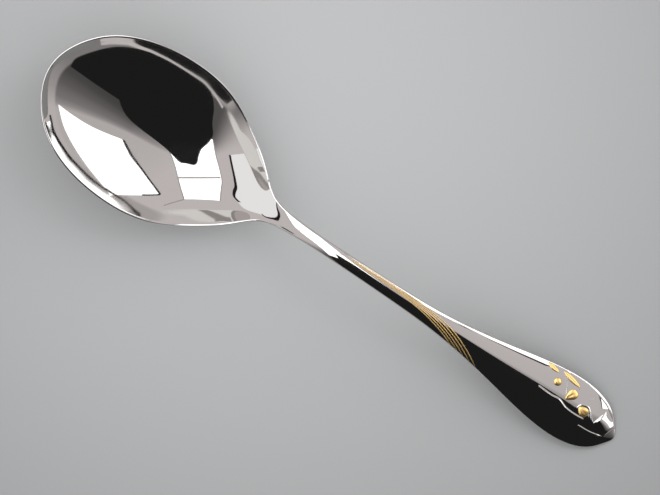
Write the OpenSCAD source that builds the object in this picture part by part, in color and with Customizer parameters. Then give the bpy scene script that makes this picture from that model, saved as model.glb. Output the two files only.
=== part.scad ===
// Serving spoon: one forged steel body with gold deposits on its handle.
// The long axis is X, with the bowl's tip at -X and the handle's end at +X.
// The origin is on the table, under the middle of the spoon.

/* [Overall] */
// Length from the bowl's tip to the handle's end
spoon_length = 235; // [220:1:260]
// Radius that rounds the rim and the handle's edge, seen from above
edge_round = 0.6; // [0.5:0.05:0.8]
// Depth that the two rest flats are worn into the rounded underside
rest_wear = 0.2; // [0.1:0.01:0.3]

/* [Bowl] */
// Length of the bowl from its tip to the neck
bowl_length = 90; // [82:1:98]
// Width of the bowl over its rim
bowl_width = 58; // [50:0.5:66]
// Depth of the bowl's inside below its rim
bowl_depth = 16; // [12:0.5:19]
// Thickness of the bowl at its bottom
bowl_wall = 2; // [1.7:0.1:2.6]
// Thickness of the bowl's rim
rim_thickness = 1.6; // [1.3:0.1:2]
// Height that the tip rises above the rim's middle as the spoon lies
tip_rise = 10; // [8:0.5:12]

/* [Stem] */
// Width of the stem where it is narrowest
stem_width = 5.1; // [4.6:0.1:6]
// Thickness of the stem at its crest
stem_thickness = 4.4; // [4:0.1:5.5]
// Height of the stem's crest above the table
crest_height = 23.7; // [21:0.1:27]
// Distance of the stem's crest from the bowl's tip
crest_place = 120; // [115:1:128]
// Height that the stem's rounded top rises above its sides
stem_crown = 0.6; // [0.4:0.05:0.8]
// Height of the stem's side between its two rounded faces
stem_side = 2.4; // [2:0.1:2.8]

/* [Handle end] */
// Length of the widening handle end
handle_length = 79; // [72:1:86]
// Width of the handle end where it is widest
handle_width = 23.1; // [19:0.1:27]
// Thickness in the middle of the handle end
handle_thickness = 3.4; // [3:0.1:4.2]
// Height that the handle end's front rises above its edge
handle_crown = 2.3; // [1.6:0.1:2.8]
// Thickness of the handle end at its edge
handle_edge = 1.1; // [0.8:0.05:1.5]

/* [Gold lines] */
// Greatest width of one gold line
line_width = 0.45; // [0.3:0.05:0.6]
// Height of a gold line above the steel
line_height = 0.2; // [0.15:0.01:0.3]
// Depth that the gold is keyed into the steel
gold_key = 0.2; // [0.15:0.01:0.3]

/* [Gold sprig] */
// Length of the upper leaf
upper_leaf_length = 5.4; // [4.5:0.1:6.5]
// Width of the upper leaf
upper_leaf_width = 1.7; // [1.3:0.1:2.2]
// Length of the long leaf
long_leaf_length = 8.2; // [7:0.1:9]
// Width of the long leaf
long_leaf_width = 1.8; // [1.4:0.1:2.2]
// Height of a leaf above the steel
leaf_height = 0.35; // [0.25:0.01:0.5]
// Diameter of the round bud
round_bud_width = 2.9; // [2.4:0.1:3.4]
// Length of the heart-shaped bud
heart_bud_length = 4.9; // [4:0.1:5.6]
// Width of the heart-shaped bud
heart_bud_width = 3.4; // [2.8:0.1:4]
// Length of the end bud
end_bud_length = 4.1; // [3.4:0.1:4.8]
// Width of the end bud
end_bud_width = 3.4; // [2.8:0.1:4]
// Height of a bud above the steel
bud_height = 0.6; // [0.4:0.01:0.8]

/* [Hidden] */

// Half widths inside the rounded edge
bowl_half = bowl_width / 2 - edge_round;
stem_half = stem_width / 2 - edge_round;
handle_half = handle_width / 2 - edge_round;

// Heights of the spoon's edge over the table: rim, crest and handle end
rim_height = bowl_depth + bowl_wall - rest_wear;
crest_edge = crest_height - stem_crown;
end_edge = handle_edge - rest_wear;

// How finely the body is divided
steps_per_station = 4;
steps_across = 20;
steps_round_edge = 4;
body_colour = "silver";
gold_colour = "goldenrod";

// The spoon is blended through stations along its length. Each station gives the
// place, half width, edge height, dish depth (negative for a crown), thickness in
// the middle and height of the side.
// Bowl shares: place, half width, lift of the rim as a share of the tip's rise,
// depth, thickening to the stem, side
bowl_shares = [
    [0.038, 0.408, 0.930, 0.150, 0.00, 0.00],
    [0.140, 0.761, 0.780, 0.545, 0.00, 0.00],
    [0.294, 0.961, 0.550, 0.855, 0.00, 0.00],
    [0.467, 1.018, 0.270, 0.975, 0.00, 0.00],
    [0.633, 0.965, -0.120, 0.953, 0.00, 0.00],
    [0.772, 0.708, -0.480, 0.672, 0.10, 0.00],
    [0.883, 0.485, -0.520, 0.340, 0.30, 0.05],
    [0.967, 0.213, -0.360, 0.120, 0.55, 0.20]
];
// Neck shares: place between bowl and crest, half width, lift from the rim to the
// crest, crown, thickening, side
neck_shares = [
    [0.083, 1.643, -0.354, 0.150, 0.76, 0.50],
    [0.306, 1.254, 0.229, 0.850, 0.93, 0.85],
    [0.611, 1.000, 0.763, 1.000, 1.00, 1.00],
    [1.000, 1.000, 1.142, 1.000, 1.00, 1.00]
];
// Handle shares: distance from the end, half width, fall from the crest, crown,
// thickness above the edge, stem side that is left
handle_shares = [
    [1.177, 0.202, 0.108, 0.260, 1.42, 0.90],
    [0.975, 0.246, 0.276, 0.380, 1.35, 0.70],
    [0.797, 0.383, 0.419, 0.560, 1.26, 0.40],
    [0.620, 0.601, 0.574, 0.800, 1.15, 0.15],
    [0.456, 0.849, 0.709, 0.950, 1.065, 0.04],
    [0.316, 0.998, 0.813, 1.020, 1.02, 0.00],
    [0.190, 1.005, 0.904, 1.000, 1.00, 0.00],
    [0.076, 0.752, 0.949, 0.650, 0.65, 0.00],
    [0.018, 0.222, 1.008, 0.200, 0.20, 0.00]
];

function bowl_station(s) = [
    bowl_length * s[0],
    bowl_half * s[1],
    rim_height + tip_rise * s[2],
    bowl_depth * s[3],
    bowl_wall + (stem_thickness - bowl_wall) * s[4],
    rim_thickness + (stem_side - rim_thickness) * s[5]
];
function neck_station(s) = [
    bowl_length + (crest_place - bowl_length) * s[0],
    stem_half * s[1],
    rim_height + (crest_edge - rim_height) * s[2],
    -stem_crown * s[3],
    bowl_wall + (stem_thickness - bowl_wall) * s[4],
    rim_thickness + (stem_side - rim_thickness) * s[5]
];
function handle_station(s) = [
    spoon_length - handle_length * s[0],
    handle_half * s[1],
    crest_edge + (end_edge - crest_edge) * s[2],
    -handle_crown * s[3],
    handle_edge + (handle_thickness - handle_edge) * s[4],
    handle_edge + (stem_side - handle_edge) * s[5]
];
stations = concat(
    [for (s = bowl_shares) bowl_station(s)],
    [for (s = neck_shares) neck_station(s)],
    [for (s = handle_shares) handle_station(s)]
);

// Both ends close to a point, as if the stations went on mirrored past them
tip = [edge_round, 0, rim_height + tip_rise, 0, rim_thickness, rim_thickness];
end = [spoon_length - edge_round, 0, end_edge, 0, handle_edge, handle_edge];
function mirrored(s) = [for (k = [0 : len(s) - 1]) k == 1 ? -s[k] : s[k]];
function closing(point, s) = [
    for (k = [0 : len(s) - 1]) k == 1 ? 0 : 1.5 * point[k] - 0.5 * s[k]
];
last = len(stations) - 1;
controls = concat(
    [mirrored(stations[0]), closing(tip, stations[0])],
    stations,
    [closing(end, stations[last]), mirrored(stations[last])]
);
span_count = len(controls) - 3;

// Smooth cubic blend of four neighbouring rows, and its rate of change
function row_before(rows, t) = min(floor(t), len(rows) - 4);
function blend(rows, t) =
    let (i = row_before(rows, t), f = t - i, g = 1 - f)
    (g ^ 3 * rows[i]
        + (3 * f ^ 3 - 6 * f ^ 2 + 4) * rows[i + 1]
        + (3 * g ^ 3 - 6 * g ^ 2 + 4) * rows[i + 2]
        + f ^ 3 * rows[i + 3]) / 6;
function blend_rate(rows, t) =
    let (i = row_before(rows, t), f = t - i, g = 1 - f)
    (-g ^ 2 * rows[i]
        + (3 * f ^ 2 - 4 * f) * rows[i + 1]
        - (3 * g ^ 2 - 4 * g) * rows[i + 2]
        + f ^ 2 * rows[i + 3]) / 2;

// Direction square to the outline in plan, outwards on the +Y side
function outward(t) =
    let (r = blend_rate(controls, t))
    [-r[1], r[0]] / norm([r[0], r[1]]);

// Slope of a dished face where it meets the edge, square to the outline. It is
// taken just inside the two ends, where the half width is not zero.
end_margin_share = 0.05;
function edge_slope(t, dish_of) =
    let (
        u = max(end_margin_share, min(span_count - end_margin_share, t)),
        s = blend(controls, u),
        r = blend_rate(controls, u),
        run = norm([r[0], r[1]]),
        dish = dish_of == "top" ? s[3] : s[3] + s[4] - s[5]
    )
    2 * dish / s[1] * run / r[0] - r[1] / run * r[2] / r[0];

// Rounded edge from the top face (q = 0) round to the underside (q = 1)
reach = edge_round / 0.75;
function edge_out(q) = 3 * reach * q * (1 - q);
function edge_drop(t, q) =
    let (
        s = blend(controls, t),
        top_slope = min(0, edge_slope(t, "top")),
        under_slope = min(edge_slope(t, "under"), s[5] / reach)
    )
    3 * (1 - q) ^ 2 * q * reach * top_slope
        + 3 * (1 - q) * q ^ 2 * (reach * under_slope - s[5])
        - q ^ 3 * s[5];

// Points of the body: v runs from -1 to 1 across it, side is -1 or 1
function place(s) = s[0] - spoon_length / 2;
function top_point(t, v) =
    let (s = blend(controls, t))
    [place(s), s[1] * v, s[2] - s[3] * (1 - v ^ 2)];
function under_point(t, v) =
    let (s = blend(controls, t))
    [place(s), s[1] * v, max(0, s[2] - s[5] - (s[3] + s[4] - s[5]) * (1 - v ^ 2))];
function edge_point(t, q, side) =
    let (s = blend(controls, t), n = outward(t), out = edge_out(q))
    [
        place(s) + n[0] * out,
        side * (s[1] + n[1] * out),
        max(0, s[2] + edge_drop(t, q))
    ];

// One ring round the body at t: over the top, round one edge, back underneath
// and round the other edge
function ring(t) = concat(
    [for (j = [0 : steps_across]) top_point(t, 2 * j / steps_across - 1)],
    [for (k = [1 : steps_round_edge - 1]) edge_point(t, k / steps_round_edge, 1)],
    [for (j = [0 : steps_across]) under_point(t, 1 - 2 * j / steps_across)],
    [for (k = [1 : steps_round_edge - 1]) edge_point(t, 1 - k / steps_round_edge, -1)]
);
// At either end the ring closes to one chain of points round the edge
function chain(t) = [
    for (k = [0 : steps_round_edge])
        k == 0 ? top_point(t, 0)
        : k == steps_round_edge ? under_point(t, 0)
        : edge_point(t, k / steps_round_edge, 1)
];
ring_size = 2 * (steps_across + 1) + 2 * (steps_round_edge - 1);
chain_size = steps_round_edge + 1;
ring_count = steps_per_station * span_count - 1;
function chain_index(r) =
    r <= steps_across ? 0
    : r < steps_across + steps_round_edge ? r - steps_across
    : r <= 2 * steps_across + steps_round_edge ? steps_round_edge
    : ring_size - r;
function body_index(i, j) =
    let (r = j % ring_size)
    i == 0 ? chain_index(r)
    : i == ring_count + 1 ? chain_size + ring_count * ring_size + chain_index(r)
    : chain_size + (i - 1) * ring_size + r;
function is_triangle(f) = f[0] != f[1] && f[1] != f[2] && f[0] != f[2];

module spoon_body() {
    points = concat(
        chain(0),
        [for (i = [1 : ring_count]) each ring(i / steps_per_station)],
        chain(span_count)
    );
    faces = [
        for (i = [0 : ring_count])
            for (r = [0 : ring_size - 1])
                let (
                    a = body_index(i, r),
                    b = body_index(i, r + 1),
                    c = body_index(i + 1, r + 1),
                    d = body_index(i + 1, r)
                )
                for (f = [[a, b, c], [a, c, d]])
                    if (is_triangle(f)) f
    ];
    color(body_colour) polyhedron(points, faces);
}

// Blend value t at a place along the spoon, found by halving
halvings = 24;
function station_at(u, low = 0, high = span_count, n = halvings) =
    let (middle = (low + high) / 2)
    n == 0 ? middle
    : blend(controls, middle)[0] < u ? station_at(u, middle, high, n - 1)
    : station_at(u, low, middle, n - 1);

// Point on the spoon's top face, or on the upper part of its rounded edge, at the
// place u along the spoon and y across it
function skin(u, y) =
    let (
        t = station_at(u),
        s = blend(controls, t),
        over = max(0, abs(y) - s[1]),
        q = (1 - sqrt(max(0, 1 - over / edge_round))) / 2,
        v = min(1, abs(y) / s[1])
    )
    [
        u - spoon_length / 2,
        y,
        s[2] - s[3] * (1 - v ^ 2) + (over > 0 ? edge_drop(t, q) : 0)
    ];
probe = edge_round / 10;
function skin_normal(u, y) =
    let (
        along = skin(u + probe, y) - skin(u - probe, y),
        across = skin(u, y + probe) - skin(u, y - probe),
        n = cross(along, across)
    )
    n / norm(n);
function half_width(u) = blend(controls, station_at(u))[1] + edge_round;

// The bundle of gold lines lies between two guide curves. Each point gives a
// distance from the handle's end, as a share of the handle length, and a place
// across it as a share of the half width.
inner_guide_shares = [
    [1.405, 0.36], [1.230, 0.38], [1.065, 0.18], [0.968, -0.22], [0.900, -0.56],
    [0.828, -0.93]
];
outer_guide_shares = [
    [1.405, 0.74], [1.200, 0.84], [1.025, 0.68], [0.886, 0.28], [0.785, -0.36],
    [0.686, -0.93]
];
line_count = 5;
line_steps = 26;
line_gap_share = 0.7;
function guide_points(k) =
    let (
        f = (k - 1) / (line_count - 1),
        p = inner_guide_shares * (1 - f) + outer_guide_shares * f
    )
    concat([2 * p[0] - p[1]], p, [2 * p[len(p) - 1] - p[len(p) - 2]]);
function line_place(k, m) =
    let (
        guide = guide_points(k),
        g = blend(guide, m / line_steps * (len(guide) - 3)),
        u = spoon_length - handle_length * g[0]
    )
    [u, g[1] * half_width(u)];
function line_point(k, m) =
    let (p = line_place(k, m))
    skin(p[0], p[1]);
// Section of a gold line: shares of its width across and of its height up
line_shares = [[-0.5, 0.35], [-0.2, 1], [0.2, 1], [0.5, 0.35]];

module gold_line(k) {
    points = [
        for (m = [0 : line_steps])
            let (
                p = line_place(k, m),
                here = skin(p[0], p[1]),
                n = skin_normal(p[0], p[1]),
                ahead = line_point(k, min(m + 1, line_steps)),
                behind = line_point(k, max(m - 1, 0)),
                along = (ahead - behind) / norm(ahead - behind),
                across = cross(along, n),
                fan = line_point(line_count, m) - line_point(1, m),
                gap = norm(cross(fan, along)) / (line_count - 1),
                width = min(line_width, line_gap_share * gap)
            )
            each concat(
                [here - across * width / 2 - n * gold_key],
                [for (s = line_shares) here + across * width * s[0] + n * line_height * s[1]],
                [here + across * width / 2 - n * gold_key]
            )
    ];
    sides = len(line_shares) + 2;
    walls = [
        for (m = [0 : line_steps - 1])
            for (r = [0 : sides - 1])
                let (
                    a = m * sides + r,
                    b = m * sides + (r + 1) % sides,
                    c = b + sides,
                    d = a + sides
                )
                each [[a, c, b], [a, d, c]]
    ];
    first_cap = [for (r = [1 : sides - 2]) [0, r, r + 1]];
    far = line_steps * sides;
    last_cap = [for (r = [1 : sides - 2]) [far, far + r + 1, far + r]];
    color(gold_colour) polyhedron(points, concat(walls, first_cap, last_cap));
}

// Domed leaf or bud. Its centre is a distance from the handle's end, as a share
// of the handle length, and a place across as a share of the half width. It is
// turned by an angle, its ends are pinched to points by a power, and it narrows
// towards its far end by the taper.
dome_sides = 18;
// Loops of the dome: share of the outline, share of the height
dome_shares = [[1, 0.3], [0.8, 0.72], [0.45, 0.94]];
function outline_point(length, width, pinch, taper, angle) =
    let (across = sin(angle))
    [
        cos(angle) * length / 2,
        sign(across) * abs(across) ^ pinch * width / 2 * (1 - taper * cos(angle))
    ];
function turned(p, turn) = [
    p[0] * cos(turn) - p[1] * sin(turn),
    p[0] * sin(turn) + p[1] * cos(turn)
];

module gold_dome(centre, length, width, height, turn, pinch = 1, taper = 0) {
    u = spoon_length - handle_length * centre[0];
    y = half_width(u) * centre[1];
    outline = [
        for (i = [0 : dome_sides - 1])
            turned(outline_point(length, width, pinch, taper, 360 * i / dome_sides), turn)
    ];
    base = [for (p = outline) skin(u + p[0], y + p[1]) - [0, 0, gold_key]];
    loops = [
        for (s = dome_shares)
            for (p = outline)
                skin(u + p[0] * s[0], y + p[1] * s[0]) + [0, 0, height * s[1]]
    ];
    apex = skin(u, y) + [0, 0, height];
    floor_point = skin(u, y) - [0, 0, gold_key];
    points = concat(base, loops, [apex, floor_point]);
    top_loop = dome_sides * len(dome_shares);
    apex_index = len(points) - 2;
    floor_index = len(points) - 1;
    walls = [
        for (k = [0 : len(dome_shares) - 1])
            for (i = [0 : dome_sides - 1])
                let (
                    a = k * dome_sides + i,
                    b = k * dome_sides + (i + 1) % dome_sides,
                    c = b + dome_sides,
                    d = a + dome_sides
                )
                each [[a, c, b], [a, d, c]]
    ];
    cap = [
        for (i = [0 : dome_sides - 1])
            [top_loop + i, apex_index, top_loop + (i + 1) % dome_sides]
    ];
    underside = [
        for (i = [0 : dome_sides - 1]) [i, (i + 1) % dome_sides, floor_index]
    ];
    color(gold_colour) polyhedron(points, concat(walls, cap, underside));
}

// Places of the sprig's pieces: share of the handle length from its end, share
// of the half width
upper_leaf_shares = [0.395, 0.800];
long_leaf_shares = [0.296, 0.790];
round_bud_shares = [0.344, 0.500];
heart_bud_shares = [0.261, 0.370];
end_bud_shares = [0.180, 0.160];
leaf_pinch = 1.7;
upper_leaf_turn = -10;
long_leaf_turn = -12;
heart_turn = 242;
heart_taper = 0.45;
end_bud_turn = 168;
end_bud_taper = 0.35;

module gold_upper_leaf() {
    gold_dome(
        upper_leaf_shares, upper_leaf_length, upper_leaf_width, leaf_height,
        upper_leaf_turn, leaf_pinch
    );
}

module gold_long_leaf() {
    gold_dome(
        long_leaf_shares, long_leaf_length, long_leaf_width, leaf_height,
        long_leaf_turn, leaf_pinch
    );
}

module gold_round_bud() {
    gold_dome(round_bud_shares, round_bud_width, round_bud_width, bud_height, 0);
}

module gold_heart_bud() {
    gold_dome(
        heart_bud_shares, heart_bud_length, heart_bud_width, bud_height,
        heart_turn, 1, heart_taper
    );
}

module gold_end_bud() {
    gold_dome(
        end_bud_shares, end_bud_length, end_bud_width, bud_height,
        end_bud_turn, 1, end_bud_taper
    );
}

spoon_body();
gold_line(1);  // gold_line_1
gold_line(2);  // gold_line_2
gold_line(3);  // gold_line_3
gold_line(4);  // gold_line_4
gold_line(5);  // gold_line_5
gold_upper_leaf();
gold_long_leaf();
gold_round_bud();
gold_heart_bud();
gold_end_bud();
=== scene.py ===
"""Serving spoon in mirror-polished steel with a gold-plated sprig, on a pale studio floor."""

import bmesh
import bpy
import numpy as np
from bpy.props import FloatProperty, FloatVectorProperty, PointerProperty
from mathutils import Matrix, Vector


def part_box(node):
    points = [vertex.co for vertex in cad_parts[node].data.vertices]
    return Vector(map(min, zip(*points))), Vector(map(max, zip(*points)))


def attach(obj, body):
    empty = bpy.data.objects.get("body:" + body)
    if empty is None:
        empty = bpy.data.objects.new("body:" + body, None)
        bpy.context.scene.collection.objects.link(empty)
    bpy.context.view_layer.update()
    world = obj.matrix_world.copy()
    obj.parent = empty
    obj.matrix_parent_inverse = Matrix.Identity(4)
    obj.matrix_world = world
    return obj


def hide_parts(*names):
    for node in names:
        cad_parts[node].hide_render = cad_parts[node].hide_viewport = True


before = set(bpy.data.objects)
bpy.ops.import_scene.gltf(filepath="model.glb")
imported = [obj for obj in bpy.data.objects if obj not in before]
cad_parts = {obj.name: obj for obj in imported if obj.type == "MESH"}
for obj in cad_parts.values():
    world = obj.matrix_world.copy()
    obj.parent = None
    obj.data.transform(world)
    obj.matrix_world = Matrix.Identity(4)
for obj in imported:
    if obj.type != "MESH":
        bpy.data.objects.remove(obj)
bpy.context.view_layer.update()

bl_info = {
    "name": "Serving spoon",
    "version": (1, 0, 0),
    "blender": (4, 5, 0),
    "location": "3D View > Sidebar > Spoon",
    "description": "Forged steel serving spoon with raised gold lines and a gold sprig",
    "category": "Object",
}

ROOT = "root"
MM = 0.001
TINY = 1e-9

BODY_LOW, BODY_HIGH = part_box("spoon_body")

# The spoon is blended through stations along its length. A row gives the place, half
# width, edge height, dish depth (negative for a crown), thickness in the middle and
# height of the side, each as a share of the size that it follows.
BOWL_SHARES = (
    (0.038, 0.408, 0.93, 0.15, 0, 0),
    (0.14, 0.761, 0.78, 0.545, 0, 0),
    (0.294, 0.961, 0.55, 0.855, 0, 0),
    (0.467, 1.018, 0.27, 0.975, 0, 0),
    (0.633, 0.965, -0.12, 0.953, 0, 0),
    (0.772, 0.708, -0.48, 0.672, 0.1, 0),
    (0.883, 0.485, -0.52, 0.34, 0.3, 0.05),
    (0.967, 0.213, -0.36, 0.12, 0.55, 0.2),
)
NECK_SHARES = (
    (0.083, 1.643, -0.354, 0.15, 0.76, 0.5),
    (0.306, 1.254, 0.229, 0.85, 0.93, 0.85),
    (0.611, 1, 0.763, 1, 1, 1),
    (1, 1, 1.142, 1, 1, 1),
)
HANDLE_SHARES = (
    (1.177, 0.202, 0.108, 0.26, 1.42, 0.9),
    (0.975, 0.246, 0.276, 0.38, 1.35, 0.7),
    (0.797, 0.383, 0.419, 0.56, 1.26, 0.4),
    (0.62, 0.601, 0.574, 0.8, 1.15, 0.15),
    (0.456, 0.849, 0.709, 0.95, 1.065, 0.04),
    (0.316, 0.998, 0.813, 1.02, 1.02, 0),
    (0.19, 1.005, 0.904, 1, 1, 0),
    (0.076, 0.752, 0.949, 0.65, 0.65, 0),
    (0.018, 0.222, 1.008, 0.2, 0.2, 0),
)

# An edge's slope is read at least so many stations away from the tip and the end, where
# the spoon has no width
END_MARGIN = 0.05
# Greatest bulge of the rounded edge's curve, as a share of the reach of its handles
EDGE_BULGE = 0.75
# Steps of the table that finds a station by its place, and of the rounded edge's radius
# in the probe that finds the way out of the skin
LOOKUP_STEPS = 6000
PROBE_STEPS = 10

# The gold lines lie between two guide curves: distance from the handle's end as a
# share of the handle length, and place across as a share of the half width. Where they
# run close together, a line takes no more than a share of the gap
INNER_GUIDE = (
    (1.405, 0.36), (1.230, 0.38), (1.065, 0.18), (0.968, -0.22), (0.900, -0.56),
    (0.828, -0.93),
)
OUTER_GUIDE = (
    (1.405, 0.74), (1.200, 0.84), (1.025, 0.68), (0.886, 0.28), (0.785, -0.36),
    (0.686, -0.93),
)
LINE_COUNT = 5
LINE_GAP_SHARE = 0.7

# Steps of the mesh for each station, and the finer ones from the station where the
# handle's relief starts. Then the steps across the top face, across the under face and
# round each edge
STATION_STEPS = 12
RELIEF_STEPS = 70
RELIEF_START = 17
TOP_STEPS = 128
UNDER_STEPS = 48
EDGE_STEPS = 12

# The bowl's wall is eased below its rim, so that it never gets steeper than a slope:
# places along the bowl as a share of its length, and the slopes there. The power says
# how sharply the plain dish turns into the eased wall. The rim's own slopes, across and
# in height, are read no steeper than the last two
WALL_PLACES = (0.6, 0.76)
WALL_SLOPES = (0.97, 0.84)
EASE_POWER = 20
RIM_TURN = 1
RIM_CLIMB = 0.5


def srgb(code):
    """Linear red, green and blue of a six-digit sRGB colour."""
    channels = (int(code[i : i + 2], 16) / 255 for i in (0, 2, 4))
    return tuple(
        c / 12.92 if c <= 0.04045 else ((c + 0.055) / 1.055) ** 2.4 for c in channels
    )


def length(label, description, default):
    """A length that the sidebar shows in scene units."""
    return FloatProperty(
        name=label,
        description=description,
        default=default,
        min=0.0,
        precision=5,
        subtype="DISTANCE",
        unit="LENGTH",
    )


def colour(label, description, code):
    """A colour that the sidebar shows as a swatch."""
    return FloatVectorProperty(
        name=label,
        description=description,
        default=srgb(code),
        min=0.0,
        max=1.0,
        size=3,
        subtype="COLOR",
    )


class SpoonSizes(bpy.types.PropertyGroup):
    """Sizes of the forged body, as the maker would give them."""

    spoon_length: length("Length", "Bowl's tip to handle's end", BODY_HIGH.x - BODY_LOW.x)
    edge_round: length("Edge", "Radius of the rounded rim and handle edge", 0.6 * MM)
    rest_wear: length("Rest flats", "Depth of the two worn rest flats", 0.2 * MM)
    bowl_length: length("Bowl length", "Tip of the bowl to the neck", 90 * MM)
    bowl_width: length("Bowl width", "Width over the rim", 58 * MM)
    bowl_depth: length("Bowl depth", "Depth of the inside below the rim", 16 * MM)
    bowl_wall: length("Bowl wall", "Thickness at the bottom of the bowl", 2 * MM)
    rim_thickness: length("Rim", "Thickness of the bowl's rim", 1.6 * MM)
    tip_rise: length("Tip rise", "Rise of the bowl's tip over its middle", 10 * MM)
    stem_width: length("Stem width", "Width of the narrowest stem", 5.1 * MM)
    stem_thickness: length("Stem thickness", "Thickness at the crest", 4.4 * MM)
    crest_height: length("Crest height", "Height of the crest over the table", 23.7 * MM)
    crest_place: length("Crest place", "Distance of the crest from the tip", 120 * MM)
    stem_crown: length("Stem crown", "Rise of the stem's rounded top", 0.6 * MM)
    stem_side: length("Stem side", "Height of the stem's side", 2.4 * MM)
    handle_length: length("Handle length", "Length of the widening end", 79 * MM)
    handle_width: length("Handle width", "Greatest width of the handle", 23.1 * MM)
    handle_thickness: length("Handle thickness", "Thickness in the middle", 3.4 * MM)
    handle_crown: length("Handle crown", "Rise of the handle's front", 2.3 * MM)
    handle_edge: length("Handle edge", "Thickness of the handle's edge", 1.1 * MM)


class SpoonTrim(bpy.types.PropertyGroup):
    """Sizes and colours of the finish and of the raised gold."""

    line_width: length("Line width", "Greatest width of a gold line", 0.38 * MM)
    line_height: length("Line height", "Height of a gold line", 0.14 * MM)
    gold_key: length("Gold key", "Depth that the gold is keyed in", 0.2 * MM)
    leaf_height: length("Leaf height", "Height of a leaf", 0.35 * MM)
    bud_height: length("Bud height", "Height of a bud", 0.6 * MM)
    steel_colour: colour("Steel", "Colour of the polished steel", "dcdad8")
    gold_colour: colour("Gold", "Colour of the polished gold", "ffde98")


class SpoonStudio(bpy.types.PropertyGroup):
    """The floor, the light and the reflected studio."""

    floor_colour: colour("Floor", "Colour of the floor", "c7c8c9")
    key_power: FloatProperty(
        name="Key light", description="Power of the key light", default=1.4, unit="POWER"
    )


def blend(rows, t):
    """Smooth cubic blend of neighbouring rows at the places t."""
    i = np.minimum(np.floor(t).astype(int), len(rows) - 4)
    f = (t - i)[:, None]
    g = 1 - f
    return (
        g**3 * rows[i]
        + (3 * f**3 - 6 * f**2 + 4) * rows[i + 1]
        + (3 * g**3 - 6 * g**2 + 4) * rows[i + 2]
        + f**3 * rows[i + 3]
    ) / 6


def blend_rate(rows, t):
    """Rate of change of the blend."""
    i = np.minimum(np.floor(t).astype(int), len(rows) - 4)
    f = (t - i)[:, None]
    g = 1 - f
    return (
        -(g**2) * rows[i]
        + (3 * f**2 - 4 * f) * rows[i + 1]
        - (3 * g**2 - 4 * g) * rows[i + 2]
        + f**2 * rows[i + 3]
    ) / 2


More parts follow.
